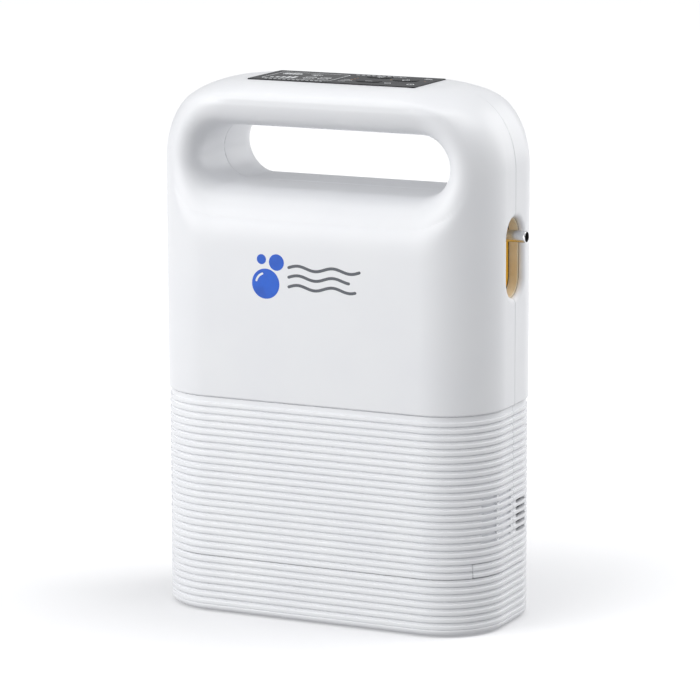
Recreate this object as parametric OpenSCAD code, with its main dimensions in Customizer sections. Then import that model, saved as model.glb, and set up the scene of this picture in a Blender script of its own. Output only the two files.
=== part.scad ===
// Portable oxygen concentrator with a carrying handle, ribbed lower half
// and a slide-out battery as its base. Millimetres, +Z up, front towards -Y,
// origin on the floor under the middle of the body.

/* [Body] */
// Width of the smooth upper body
body_w = 160; // [158:0.5:164]
// Depth of the smooth upper body
body_d = 76.8; // [76:0.2:82]
// Radius of the vertical corners
corner_r = 28.7; // [26:0.1:29]
// Height of the top face above the floor
top_z = 234.7; // [233:0.1:238]
// Shell wall thickness
wall = 2.4; // [2:0.1:2.8]
// Radius of the top corners, seen from the front
shoulder_r = 33; // [31:1:40]
// Radius of the long top edges
top_edge_r = 15; // [13:1:19]

/* [Handle] */
// Half width of the finger gap
gap_hw = 59.8; // [56:0.1:60]
// Lowest point of the finger gap
gap_lo = 189; // [188:0.5:191]
// Highest point of the finger gap
gap_hi = 215.4; // [213:0.1:216]
// Radius of the bell mouths at the front and back
flare_r = 20; // [19.5:0.1:21]
// Depth from the mid-plane at which the bell mouths begin
flare_y = 20; // [20:0.5:22]

/* [Ribs] */
// Distance from one rib to the next
rib_pitch = 3.191; // [3.1:0.001:3.25]
// Height of the lowest groove above the floor
rib_z0 = 3.4; // [3.2:0.1:3.6]
// Depth of a groove
groove_d = 0.7; // [0.4:0.1:0.9]
// Height of a groove
groove_h = 0.9; // [0.6:0.1:1.2]
// Inset of the ribbed skirt from the smooth body, each side
skirt_inset = 0.4; // [0.2:0.1:0.5]

/* [Battery] */
// Gap between the battery and the housing
bay_gap = 0.3; // [0.3:0.05:0.4]
// Cell diameter
cell_dia = 18.3; // [18:0.1:18.5]
// Travel of each latch tab when it is squeezed
latch_travel = 2; // [1.5:0.1:2]

/* [Controls] */
// Panel width
panel_w = 79.2; // [76:0.2:80]
// Panel depth
panel_d = 33; // [30:0.2:34]
// Key travel
key_travel = 0.5; // [0.3:0.1:0.5]

/* [Outlet] */
// Outlet height above the floor
outlet_z = 171.1; // [170:0.1:172]
// Outer radius of the outlet barb
barb_r = 2.6; // [2.5:0.1:2.8]
// Bore radius of the outlet barb
barb_bore_r = 2; // [1.6:0.1:2]
// How far the barb stands out of the side
barb_out = 5.2; // [4:0.1:6]

/* [Hidden] */
$fn = 64;
e = 0.01;
groove_21 = rib_z0 + 7 * rib_pitch;      // parting line between battery and housing
groove_19 = rib_z0 + 9 * rib_pitch;      // top of the latch tabs
skirt_top = 96.8;                        // top of the ribbed skirt
upper_z0 = 97.1;                         // lower edge of the smooth body
skirt_w = body_w - 2 * skirt_inset;
skirt_d = body_d - 2 * skirt_inset;
skirt_r = corner_r - skirt_inset;
base_z = 0.9;                            // underside of the battery case
foot_r = 5.5;
feet_at = [[0, 0], [56, 22], [56, -22], [-56, 22], [-56, -22]];
case_top = groove_21 - bay_gap / 2;
bay_z = groove_21 + bay_gap / 2;         // lower rim of the housing
spigot_z = 36;                           // top of the battery lid's raised part
panel_r = 2.5;                           // corner radius of the panel
latch_hw = 28.8;                         // half length of a latch tab
latch_t = 2.6;
latch_top = groove_19 - 0.15;
plate_z = 38.4;
plate_t = 2.4;
bell_depth = body_d / 2 - flare_y + 1;
port_hw = 9.4;                           // half width of the hole for the port cup
port_z0 = 143.5;
port_z1 = 179.8;
port_depth = 7.2;
cup_t = 1.05;
jack_y = 8;
jack_z = 128;
jack_r = 5.5;
screw_upper = [[52, 101.6], [60, 179.2]];
screw_lower = [[45, 46.5], [45, 90]];
boss_r = 3.3;
socket_x = -57;
motor_z = 69;
crank_throw = 3.5;
cyl_x = 26;
bore_r = 11;
head_z = 98;
bed_r = 16.4;
bed_y = 16.9;
bed_z = 121.4;
bed_hl = 55;
fan_x = 56;
fan_t = 15;
fan_w = 50;
fan_z = 66.5;
fan_r = 23;
board_top = 228.6;
switch_top = board_top + 0.9;
key_r = 3.1;
keys_at = [[27, 3], [12, 9], [13.5, -6]];
key_hl = 2.6;                            // half length of a key between its round ends
vent_rows = [12 : 16];
blind_rows = [10 : 16];

// ---------- shared shapes ----------

function groove_z(k) = rib_z0 + (28 - k) * rib_pitch;

// Rounded rectangle, the plan of the body.
module plan(w, d, r) {
    square([w - 2 * r, d], center = true);
    square([w, d - 2 * r], center = true);
    for (sx = [-1, 1], sy = [-1, 1])
        translate([sx * (w / 2 - r), sy * (d / 2 - r)])
            circle(r);
}

module slab(w, d, r, z0, z1) {
    translate([0, 0, z0])
        linear_extrude(z1 - z0)
            plan(w, d, r);
}

module ring(w, d, r, t, z0, z1) {
    translate([0, 0, z0])
        linear_extrude(z1 - z0)
            difference() {
                plan(w, d, r);
                plan(w - 2 * t, d - 2 * t, r - t);
            }
}

module box(x0, x1, y0, y1, z0, z1) {
    translate([x0, y0, z0])
        cube([x1 - x0, y1 - y0, z1 - z0]);
}

module rod_x(r, x0, x1, y, z) {
    translate([x0, y, z])
        rotate([0, 90, 0])
            cylinder(r = r, h = x1 - x0);
}

module rod_y(r, y0, y1, x, z) {
    translate([x, y1, z])
        rotate([90, 0, 0])
            cylinder(r = r, h = y1 - y0);
}

module rod_z(r, z0, z1, x, y) {
    translate([x, y, z0])
        cylinder(r = r, h = z1 - z0);
}

// Half of the space in front of (side -1) or behind (side 1) the seam.
module half(side) {
    translate([-100, side < 0 ? -50 : 0, -10])
        cube([200, 50, 260]);
}

// Outline of width w with both top corners rounded by r.
module round_top(w, r, zt) {
    translate([-w / 2, 0])
        square([w, zt - r]);
    translate([r - w / 2, 0])
        square([w - 2 * r, zt]);
    for (s = [-1, 1])
        translate([s * (w / 2 - r), zt - r])
            circle(r);
}

// Solid form of the smooth body, shrunk inwards by s: plan, front and side outlines in common.
module upper_form(s) {
    intersection() {
        slab(body_w - 2 * s, body_d - 2 * s, corner_r - s, upper_z0 - (s > 0 ? 1 : 0), top_z - s);
        rotate([90, 0, 0])
            linear_extrude(2 * body_d, center = true)
                round_top(body_w - 2 * s, shoulder_r - s, top_z - s);
        rotate([90, 0, 90])
            linear_extrude(2 * body_w, center = true)
                round_top(body_d - 2 * s, top_edge_r - s, top_z - s);
    }
}

// Section of the bell mouth on the right of its axis: r wide, flaring by an arc of radius bell.
module mouth_section(r, bell) {
    difference() {
        square([r + bell - 0.5, bell_depth]);
        translate([r + bell, 0])
            circle(bell);
    }
}

// Finger gap grown by g: a round-ended slot with a bell mouth on one side.
module handle_gap(side, g) {
    r = (gap_hi - gap_lo) / 2 + g;
    zc = (gap_hi + gap_lo) / 2;
    xe = gap_hw + g - r;
    bell = flare_r - g;
    translate([0, 0, zc])
        rotate([90, 0, 0])
            linear_extrude(body_d + 2, center = true) {
                square([2 * xe, 2 * r], center = true);
                for (s = [-1, 1])
                    translate([s * xe, 0])
                        circle(r);
            }
    translate([0, side * flare_y, zc])
        rotate([side < 0 ? 90 : -90, 0, 0]) {
            for (s = [-1, 1])
                translate([s * xe, 0, 0])
                    rotate_extrude()
                        mouth_section(r, bell);
            for (s = [0, 1])
                translate([-xe, 0, 0])
                    mirror([0, s, 0])
                        rotate([90, 0, 90])
                            linear_extrude(2 * xe)
                                mouth_section(r, bell);
        }
}

module port_outline(g) {
    r = port_hw + g;
    square([port_z1 - port_z0 - 2 * port_hw, 2 * r], center = true);
    for (s = [-1, 1])
        translate([s * ((port_z1 - port_z0) / 2 - port_hw), 0])
            circle(r);
}

// Round-ended upright prism along X at the port.
module port_prism(g, x0, x1) {
    translate([x0, 0, (port_z0 + port_z1) / 2])
        rotate([0, 90, 0])
            linear_extrude(x1 - x0)
                port_outline(g);
}

module key_shape(r, z0, z1, at) {
    translate([at[0], at[1], z0])
        linear_extrude(z1 - z0) {
            square([2 * key_hl, 2 * r], center = true);
            for (s = [-1, 1])
                translate([s * key_hl, 0])
                    circle(r);
        }
}

module screw_posts(spots, r, y0, y1) {
    for (p = spots, s = [-1, 1])
        rod_y(r, y0, y1, s * p[0], p[1]);
}

module screw_holes(spots, side) {
    if (side < 0)
        screw_posts(spots, 1.2, -14, 1);
    else {
        screw_posts(spots, 1.6, -1, 60);
        screw_posts(spots, 3, 12, 60);
    }
}

// ---------- housing shells ----------

module upper_half(side) {
    difference() {
        intersection() {
            difference() {
                upper_form(0);
                difference() {
                    upper_form(wall);
                    handle_gap(side, wall);
                    screw_posts(screw_upper, boss_r, -60, 60);
                }
                handle_gap(side, 0);
            }
            half(side);
        }
        screw_holes(screw_upper, side);
        port_prism(0.15, 70, 90);
        rod_x(jack_r + 0.15, -90, -70, jack_y, jack_z);
        slab(panel_w + 0.4, panel_d + 0.4, panel_r + 0.2, top_z - 0.4, top_z + 5);
        box(-36, -1, -13, 13, top_z - 5, top_z + 5);
        for (at = keys_at)
            key_shape(key_r + 0.35, top_z - 5, top_z + 5, at);
    }
}

module upper_front_shell() {
    color("white")
        upper_half(-1);
}

module upper_rear_shell() {
    color("whitesmoke")
        upper_half(1);
}

// Grooves between the ribs from row a to row b.
module rib_grooves(a, b) {
    for (k = [a : b])
        translate([0, 0, groove_z(k) - groove_h / 2])
            linear_extrude(groove_h)
                difference() {
                    plan(skirt_w + 4, skirt_d + 4, skirt_r + 2);
                    plan(skirt_w - 2 * groove_d, skirt_d - 2 * groove_d, skirt_r - groove_d);
                }
}

// Opening in the skirt for one latch tab, and the tab's own outline with less room.
module latch_zone(s, room, z1) {
    box(s > 0 ? 60 : -90, s > 0 ? 90 : -60, -latch_hw - room, latch_hw + room, 0, z1);
}

// Open vent slots behind the seam and blind grooves in front of it, both sides.
module vents() {
    for (s = [-1, 1]) {
        for (k = vent_rows)
            translate([s * 76, 9.8, groove_z(k)])
                cube([12, 11.3, 2], center = true);
        for (k = blind_rows)
            intersection() {
                ring(skirt_w + 4, skirt_d + 4, skirt_r + 2, 3.2, groove_z(k) - 1, groove_z(k) + 1);
                union() {
                    translate([s * 76, -7.45, groove_z(k)])
                        cube([12, 12.3, 6], center = true);
                    translate([s * 74, -19.9, groove_z(k)])
                        cube([16, 8.8, 6], center = true);
                }
            }
    }
}

module lower_half(side) {
    difference() {
        intersection() {
            union() {
                ring(skirt_w, skirt_d, skirt_r, wall, bay_z, skirt_top);
                difference() {
                    slab(skirt_w - 1, skirt_d - 1, skirt_r - 0.5, 42, 95);
                    difference() {
                        slab(skirt_w + 1, skirt_d + 1, skirt_r, 41, 96);
                        screw_posts(screw_lower, boss_r, -60, 60);
                    }
                }
                // ledge that carries the chassis plate
                ring(skirt_w - 2, skirt_d - 2, skirt_r - 1, 4.4, plate_z - 1.8, plate_z);
            }
            half(side);
        }
        rib_grooves(0, 20);
        for (s = [-1, 1])
            latch_zone(s, 0.3, groove_19 + 0.15);
        vents();
        screw_holes(screw_lower, side);
    }
}

module lower_front_shell() {
    color("ghostwhite")
        lower_half(-1);
}

module lower_rear_shell() {
    color("gainsboro")
        lower_half(1);
}

module housing_screws() {
    color("silver")
        for (p = concat(screw_upper, screw_lower), s = [-1, 1]) {
            rod_y(1.15, -8, 12, s * p[0], p[1]);
            difference() {
                rod_y(2.7, 12, 14.2, s * p[0], p[1]);
                translate([s * p[0], 14.2, p[1]])
                    rotate([90, 0, 0])
                        cylinder(r = 1.25, h = 2.4, center = true, $fn = 6);
            }
        }
}

// ---------- controls ----------

module panel_overlay() {
    color("dimgray")
        difference() {
            slab(panel_w, panel_d, panel_r, top_z - 0.4, top_z + 0.4);
            for (at = keys_at)
                key_shape(key_r + 0.3, top_z - 1, top_z + 1, at);
        }
}

module key(at) {
    color("darkslategray") {
        key_shape(key_r, top_z - 2.4, top_z + 0.6, at);
        rod_z(1.6, switch_top + key_travel + 0.2, top_z - 2.3, at[0], at[1]);
    }
}

module power_key() {
    key(keys_at[0]);
}

module flow_up_key() {
    key(keys_at[1]);
}

module flow_down_key() {
    key(keys_at[2]);
}

module keypad_board() {
    color("seagreen") {
        box(-40, 40, -14, 14, board_top - 1.6, board_top);
        for (at = keys_at)
            rod_z(2.4, board_top - e, switch_top, at[0], at[1]);
    }
}

module display_module() {
    color("black")
        box(-34, -3, -11, 11, board_top, top_z - 0.9);
}

// ---------- outlet and inlet ----------

module port_cup() {
    color("goldenrod")
        difference() {
            port_prism(0, 80 - port_depth - cup_t, 78.2);
            port_prism(-cup_t, 80 - port_depth, 90);
            rod_x(barb_r + 0.02, 60, 90, 0, outlet_z);
        }
}

module outlet_barb() {
    color("lightsteelblue")
        difference() {
            union() {
                rod_x(barb_r, 62, 80 + barb_out, 0, outlet_z);
                rod_x(barb_r + 1.6, 80 - port_depth, 80 - port_depth + 1.2, 0, outlet_z);
            }
            rod_x(barb_bore_r, 60, 90, 0, outlet_z);
        }
}

module outlet_nut() {
    color("silver")
        difference() {
            translate([80 - port_depth - cup_t - 3, 0, outlet_z])
                rotate([0, 90, 0])
                    cylinder(r = 5, h = 3, $fn = 6);
            rod_x(barb_r + 0.02, 60, 90, 0, outlet_z);
        }
}

module outlet_filter() {
    color("aliceblue")
        difference() {
            union() {
                rod_x(8.5, 46, 56, 0, outlet_z);
                rod_x(10, 50, 52, 0, outlet_z);
                rod_x(4.2, 55, 62, 0, outlet_z);
                rod_x(2.4, 38, 47, 0, outlet_z);
            }
            rod_x(1.4, 30, 70, 0, outlet_z);
            rod_x(barb_r, 61.9, 63, 0, outlet_z);
        }
}

module breath_sensor_board() {
    color("mediumseagreen") {
        box(46, 62, 14, 30, 150, 151.6);
        box(50, 57, 18, 25, 151.6 - e, 156);
        rod_z(1.2, 155, 161, 53.5, 21.5);
    }
}

module dc_inlet() {
    color("black") {
        difference() {
            union() {
                rod_x(jack_r, -79.6, -68, jack_y, jack_z);
                rod_x(jack_r + 1.5, -76.4, -74.4, jack_y, jack_z);
            }
            rod_x(3.2, -90, -70.5, jack_y, jack_z);
        }
        rod_x(1, -78.6, -70, jack_y, jack_z);
    }
}

// ---------- chassis, compressor ----------

module chassis_plate() {
    color("lightgray")
        difference() {
            slab(skirt_w - 2 * wall - 0.6, skirt_d - 2 * wall - 0.6, skirt_r - wall - 0.3,
                 plate_z, plate_z + plate_t);
            translate([socket_x, 0, plate_z - 1])
                linear_extrude(10)
                    square([16.4, 24.4], center = true);
            for (sx = [-1, 1], sy = [-1, 1])
                rod_z(2, plate_z - 1, plate_z + 5, sx * 32, sy * 19);
        }
}

module rubber_mounts() {
    color("dimgray")
        for (sx = [-1, 1], sy = [-1, 1])
            rod_z(4.5, plate_z + plate_t, 46, sx * 32, sy * 19);
}

// Frame of the twin pump: foot plate, motor cradle, two crankcases, two cylinders.
module compressor_frame() {
    color("darkgray")
        difference() {
            union() {
                box(-39, 39, -25, 25, 46, 49);
                for (s = [-1, 1]) {
                    translate([s * cyl_x, 0, 0])
                        box(-8.5, 8.5, -17, 17, 48, 84);
                    rod_z(14, 83.9, head_z, s * cyl_x, 0);
                }
                rod_x(21, -17.6, 17.6, 0, motor_z);
            }
            rod_x(18.4, -14.6, 14.6, 0, motor_z);
            for (s = [-1, 1]) {
                translate([s * 26.5, 0, motor_z])
                    rotate([0, 90, 0])
                        cylinder(r = 13, h = 14.2, center = true);
                rod_z(bore_r, motor_z, head_z + 1, s * cyl_x, 0);
                translate([s * 17, 0, motor_z])
                    rotate([0, 90, 0])
                        cylinder(r = 6.5, h = 8, center = true);
                translate([s * 30, 0, motor_z])
                    rotate([0, 90, 0])
                        cylinder(r = 13, h = 12, center = true);
            }
        }
}

module cylinder_heads() {
    color("slategray")
        for (s = [-1, 1]) {
            rod_z(15, head_z, 102.2, s * cyl_x, 0);
            for (k = [-1, 1])
                rod_y(1.8, k > 0 ? 14 : -20, k > 0 ? 20 : -14, s * cyl_x, 100);
        }
}

module crankcase_covers() {
    color("silver")
        for (s = [-1, 1])
            difference() {
                translate([s * 35.4, 0, 49])
                    box(-0.9, 0.9, -16.5, 16.5, 0, 34.5);
                rod_x(2.2, s * 35 - 3, s * 35 + 3, 0, motor_z);
            }
}

module motor_stator() {
    color("peru")
        difference() {
            rod_x(18.4, -11, 11, 0, motor_z);
            rod_x(10.2, -12, 12, 0, motor_z);
        }
}

module motor_bearings() {
    color("silver")
        for (s = [-1, 1])
            translate([s * 17, 0, motor_z])
                rotate([0, 90, 0])
                    difference() {
                        cylinder(r = 6.5, h = 4, center = true);
                        cylinder(r = 2.55, h = 8, center = true);
                    }
}

module crankshaft() {
    color("lightslategray") {
        rod_x(2.5, -21, 21, 0, motor_z);
        for (s = [-1, 1]) {
            translate([s * 21.2, 0, motor_z])
                rotate([0, 90, 0])
                    cylinder(r = 7.4, h = 2.4, center = true);
            translate([s * 27, 0, motor_z + crank_throw])
                rotate([0, 90, 0])
                    cylinder(r = 2.5, h = 11, center = true);
        }
    }
}

module motor_rotor() {
    color("darkslateblue")
        difference() {
            rod_x(9.4, -11, 11, 0, motor_z);
            rod_x(2.5, -12, 12, 0, motor_z);
        }
}

// Wobble piston: cup disc and rod stub, open where it would ride on the crank pin.
module piston(s) {
    pin_top = motor_z + crank_throw + 2.5;
    color("khaki") {
        rod_z(bore_r - 0.08, pin_top + crank_throw + 9, pin_top + crank_throw + 14, s * cyl_x, 0);
        rod_z(3.2, pin_top + crank_throw + 0.6, pin_top + crank_throw + 10, s * cyl_x, 0);
    }
}

module piston_left() {
    piston(-1);
}

module piston_right() {
    piston(1);
}

// ---------- air path ----------

module fan_frame() {
    color("black")
        difference() {
            union() {
                difference() {
                    box(fan_x, fan_x + fan_t, -fan_w / 2, fan_w / 2, fan_z - fan_w / 2, fan_z + fan_w / 2);
                    rod_x(fan_r, fan_x - 1, fan_x + fan_t + 1, 0, fan_z);
                }
                rod_x(9, fan_x, fan_x + 2.4, 0, fan_z);
                for (a = [0 : 90 : 270])
                    translate([fan_x, 0, fan_z])
                        rotate([a + 45, 0, 0])
                            box(0, 2, -1.4, 1.4, 0, fan_r + 1);
            }
            for (sy = [-1, 1], sz = [-1, 1])
                rod_x(2.2, fan_x - 1, fan_x + fan_t + 1, sy * 20, fan_z + sz * 20);
        }
}

module fan_rotor() {
    color("gray") {
        rod_x(9.5, fan_x + 3, fan_x + fan_t - 1, 0, fan_z);
        for (a = [0 : 360 / 7 : 359])
            translate([fan_x + 8.6, 0, fan_z])
                rotate([a, 0, 0])
                    rotate([0, 0, 38])
                        box(-4.6, 4.6, -0.7, 0.7, 6, 21.6);
    }
}

module intake_filter() {
    color("darkslategray")
        box(-75.4, -71.4, -17, 17, 41.2, 66);
}

module intake_box() {
    color("white")
        difference() {
            box(-71.2, -65.4, -19, 19, 41.2, 70);
            box(-80, -66.9, -17, 17, 43, 68);
        }
}

module exhaust_muffler() {
    color("cornsilk") {
        rod_z(7.2, 48, 86, -57, 14);
        rod_z(4, 86 - e, 92, -57, 14);
    }
}

module sieve_bed(s) {
    color("lightsteelblue")
        rod_x(bed_r, -bed_hl, bed_hl, s * bed_y, bed_z);
}

module sieve_bed_front() {
    sieve_bed(-1);
}

module sieve_bed_rear() {
    sieve_bed(1);
}

module bed_cap(s) {
    color("gray")
        translate([s * (bed_hl + 3), 0, 0])
            difference() {
                box(-3, 3, -32.4, 32.4, bed_z - 17, bed_z + 17);
                for (y = [-1, 1])
                    rod_x(3, -5, 5, y * 25, bed_z + 50);
            }
    color("gray")
        for (y = [-1, 1])
            translate([s * (bed_hl + 8.4), y * 14, bed_z])
                rotate([0, 90, 0])
                    cylinder(r = 2.2, h = 5, center = true);
}

module bed_cap_left() {
    bed_cap(-1);
}

module bed_cap_right() {
    bed_cap(1);
}

module valve_manifold() {
    color("silver") {
        box(-14, 34, -16, 16, 142, 151);
        for (x = [-8, 10, 28])
            rod_y(1.8, -22, -15.9, x, 146.5);
    }
}

module solenoid_valves() {
    color("steelblue")
        for (x = [-6, 10, 26], y = [-8, 8]) {
            rod_z(6.2, 151, 167, x, y);
            rod_z(2, 166.9, 169, x, y);
        }
}

module product_tank() {
    color("aliceblue") {
        rod_x(13, -62, -24, 0, 158);
        rod_x(9, -66, -61.9, 0, 158);
        rod_x(2.2, -24.1, -16, 0, 164);
    }
}

// Vertical hose with a quarter bend at its top, ending along Y.
module hose(x, y, z0, z1, run) {
    bend = 6;
    s = sign(run);
    rod_z(2.4, z0, z1 - bend, x, y);
    translate([x, y + s * bend, z1 - bend])
        rotate([0, 0, s > 0 ? -90 : 90])
            rotate([90, 0, 0])
                rotate_extrude(angle = 90)
                    translate([bend, 0])
                        circle(2.4);
    rod_y(2.4, s > 0 ? y + bend : y + run, s > 0 ? y + run : y - bend, x, z1);
}

module air_hoses() {
    color("lightcyan") {
        hose(-64.8, -26, 60, 84, 12);
        hose(38, -28.5, 50, 94, 12);
        rod_x(2.4, 34.2, 37.8, 0, 147);
        rod_x(2.4, -14, 38, 0, outlet_z);
    }
}

// ---------- electronics ----------

module main_board() {
    color("darkgreen")
        box(-40, 40, 29.6, 31.2, 50, 97);
}

module board_components() {
    color("dimgray") {
        for (x = [-34, -22, -10])
            rod_y(4, 25.6, 29.6, x, 90);
        box(2, 16, 27.4, 29.6, 66, 80);
        box(22, 38, 26, 29.6, 58, 62);
        box(-38, -24, 26.4, 29.6, 56, 66);
        box(24, 36, 27.2, 29.6, 76, 92);
    }
}

module battery_socket() {
    color("black")
        difference() {
            translate([socket_x, 0, 0])
                box(-8, 8, -12, 12, 37, 45.4);
            for (i = [-1.5 : 1 : 1.5])
                translate([socket_x, i * 5.4, 0])
                    box(-5.2, 5.2, -1, 1, 30, 43.6);
        }
}

// ---------- battery ----------

module battery_case() {
    color("white")
        difference() {
            union() {
                slab(skirt_w - 2, skirt_d - 2, skirt_r - 1, base_z, base_z + 1.1);
                slab(skirt_w, skirt_d, skirt_r, base_z + 1, case_top);
            }
            slab(skirt_w - 2 * wall, skirt_d - 2 * wall, skirt_r - wall, base_z + 2.2, 60);
            rib_grooves(22, 28);
            for (at = feet_at)
                rod_z(foot_r + 0.05, -1, base_z + 0.8, at[0], at[1]);
        }
}

// Lid with the raised part that guides the pack into the housing.
module battery_lid() {
    color("lightgray")
        difference() {
            union() {
                slab(skirt_w - 2 * wall - 0.4, skirt_d - 2 * wall - 0.4, skirt_r - wall - 0.2,
                     case_top - 2, case_top - 0.2);
                slab(136, 62, 18, case_top - 0.3, spigot_z);
            }
            slab(132, 58, 16, case_top - 3, spigot_z - 2);
            translate([socket_x, 0, spigot_z - 3])
                linear_extrude(10)
                    square([12, 20], center = true);
        }
}

module battery_cells() {
    color("mediumseagreen")
        for (x = [-33, 33], y = [-1, 0, 1])
            rod_x(cell_dia / 2, x - 32.5, x + 32.5, y * (cell_dia + 0.3), base_z + 2.2 + cell_dia / 2);
}

module battery_board() {
    color("darkgreen") {
        box(-64, -44, -20, 20, case_top + 0.6, case_top + 2.2);
        box(-50, -46, -16, -6, case_top + 2.2 - e, case_top + 4);
    }
}

// Four blades that stand up into the socket.
module battery_contacts() {
    color("gold")
        for (i = [-1.5 : 1 : 1.5])
            translate([socket_x, i * 5.4, 0])
                box(-3.6, 3.6, -0.5, 0.5, case_top + 2.2, 42.4);
}

// Latch tab: outer piece two ribs high that continues the skirt, with a hooked arm inside.
module latch(s) {
    color("white") {
        difference() {
            intersection() {
                ring(skirt_w, skirt_d, skirt_r, latch_t, bay_z, latch_top);
                latch_zone(s, 0, 60);
            }
            rib_grooves(20, 20);
        }
        translate([s * 74.4, 0, bay_z + 0.8])
            cube([6, 16, 1.6], center = true);
    }
}

module latch_left() {
    latch(-1);
}

module latch_right() {
    latch(1);
}

// Two coil springs behind a latch tab, drawn as rings at their squeezed length.
module latch_spring_pair(s) {
    color("silver")
        for (y = [-16, 16]) {
            for (i = [0 : 4])
                translate([s * (68.8 + i * (5.9 - latch_travel) / 4), y, bay_z + 3])
                    rotate([0, 90, 0])
                        rotate_extrude($fn = 32)
                            translate([1.5, 0])
                                circle(0.4, $fn = 16);
        }
}

module latch_springs_left() {
    latch_spring_pair(-1);
}

module latch_springs_right() {
    latch_spring_pair(1);
}

module rubber_feet() {
    color("dimgray")
        for (at = feet_at)
            rod_z(foot_r, 0, base_z + 0.8, at[0], at[1]);
}

upper_front_shell();
upper_rear_shell();
lower_front_shell();
lower_rear_shell();
panel_overlay();
power_key();
flow_up_key();
flow_down_key();
keypad_board();
display_module();
port_cup();
outlet_barb();
outlet_nut();
outlet_filter();
breath_sensor_board();
dc_inlet();
housing_screws();
chassis_plate();
rubber_mounts();
compressor_frame();
cylinder_heads();
crankcase_covers();
motor_stator();
motor_bearings();
crankshaft();
motor_rotor();
piston_left();
piston_right();
fan_frame();
fan_rotor();
intake_filter();
intake_box();
exhaust_muffler();
sieve_bed_front();
sieve_bed_rear();
bed_cap_left();
bed_cap_right();
valve_manifold();
solenoid_valves();
product_tank();
air_hoses();
main_board();
board_components();
battery_socket();
battery_case();
battery_lid();
battery_cells();
battery_board();
battery_contacts();
latch_left();
latch_right();
latch_springs_left();
latch_springs_right();
rubber_feet();
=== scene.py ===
import math
import bpy
import numpy as np
from itertools import product
from mathutils import Matrix, Vector
from mathutils.geometry import tessellate_polygon


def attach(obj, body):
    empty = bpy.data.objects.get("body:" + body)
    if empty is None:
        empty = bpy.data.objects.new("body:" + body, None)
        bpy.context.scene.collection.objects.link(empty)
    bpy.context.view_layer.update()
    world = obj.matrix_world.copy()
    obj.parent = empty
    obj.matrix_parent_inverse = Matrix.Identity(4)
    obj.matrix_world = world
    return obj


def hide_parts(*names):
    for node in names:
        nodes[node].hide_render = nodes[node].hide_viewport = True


# Portable oxygen concentrator: smooth white body with a carrying handle, ribbed skirt, slide-out battery.
# Lengths in the dictionaries are millimetres; front is -Y, up is +Z.
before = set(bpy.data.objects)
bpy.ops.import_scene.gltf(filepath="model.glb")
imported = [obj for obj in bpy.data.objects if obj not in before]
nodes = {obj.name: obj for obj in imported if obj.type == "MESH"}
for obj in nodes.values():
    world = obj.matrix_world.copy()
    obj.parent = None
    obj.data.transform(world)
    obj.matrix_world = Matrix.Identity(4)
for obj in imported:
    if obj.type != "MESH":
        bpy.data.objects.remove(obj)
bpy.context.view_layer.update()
scene = bpy.context.scene
mm = 0.001
print("frame loaded:", len(nodes), "CAD nodes")


# ---- camera and light ----

view = {"azimuth": 25.42, "elevation": 10.829, "roll": -0.15, "distance": 1658.5, "lens": 193.94,
        "aim": (1.073, 0.510, 115.125)}

studio = {
    "world": 0.398, "worldColour": "#FCFDFF",
    # soft boxes: azimuth and elevation in degrees, distance and size in metres, power in watts
    "boxes": {
        "front": {"azimuth": -15, "elevation": 18, "distance": 1.3, "size": 0.8, "power": 3.7},
        "left": {"azimuth": -45, "elevation": 18, "distance": 1.3, "size": 0.8, "power": 5.4},
        "highLeft": {"azimuth": -30, "elevation": 55, "distance": 1.4, "size": 0.9, "power": 2.92},
        "highRight": {"azimuth": 110, "elevation": 55, "distance": 1.4, "size": 0.9, "power": 6.2},
        "overhead": {"azimuth": 0, "elevation": 88, "distance": 1.4, "size": 0.9, "power": 2.5},
        "right": {"azimuth": 120, "elevation": 18, "distance": 1.3, "size": 0.8, "power": 1.26},
        "rear": {"azimuth": 150, "elevation": 18, "distance": 1.3, "size": 0.8, "power": 3.32},
    },
    "floor": "#FBFBFC", "floorGlow": (0.03, 0.62), "glowReach": (0.08, 0.5),      # near the object and far off, and how far in metres
}


def hexToLinear(text):
    values = [int(text[i:i + 2], 16) / 255 for i in (1, 3, 5)]
    return [v / 12.92 if v <= 0.04045 else ((v + 0.055) / 1.055) ** 2.4 for v in values] + [1.0]


def addNode(tree, kind, settings=None, links=None, **options):
    node = tree.nodes.new(kind)
    for name, value in options.items():
        setattr(node, name, value)
    for name, value in (settings or {}).items():
        node.inputs[name].default_value = value
    for name, source in (links or {}).items():
        tree.links.new(source, node.inputs[name])
    return node


def placeCamera():
    az, el, roll = (math.radians(view[k]) for k in ("azimuth", "elevation", "roll"))
    back = Vector((math.sin(az) * math.cos(el), -math.cos(az) * math.cos(el), math.sin(el)))
    right = (-back).cross(Vector((0, 0, 1))).normalized()
    up = right.cross(-back)
    turnedRight = math.cos(roll) * right + math.sin(roll) * up
    turnedUp = -math.sin(roll) * right + math.cos(roll) * up
    camera = bpy.data.objects.new("camera", bpy.data.cameras.new("camera"))
    camera.data.lens = view["lens"]
    camera.data.sensor_width = 36
    camera.data.clip_end = 50
    scene.collection.objects.link(camera)
    camera.matrix_world = Matrix((turnedRight, turnedUp, back)).transposed().to_4x4()
    camera.location = (Vector(view["aim"]) + back * view["distance"]) * mm
    scene.camera = camera


def softBox(name, look):
    az, el = math.radians(look["azimuth"]), math.radians(look["elevation"])
    away = Vector((math.sin(az) * math.cos(el), -math.cos(az) * math.cos(el), math.sin(el)))
    light = bpy.data.lights.new(name, "AREA")
    light.shape = "SQUARE"
    light.size = look["size"]
    light.energy = look["power"]
    lamp = bpy.data.objects.new(name, light)
    scene.collection.objects.link(lamp)
    lamp.location = Vector((0, 0, 0.12)) + away * look["distance"]
    lamp.rotation_euler = away.to_track_quat("Z", "Y").to_euler()


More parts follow.
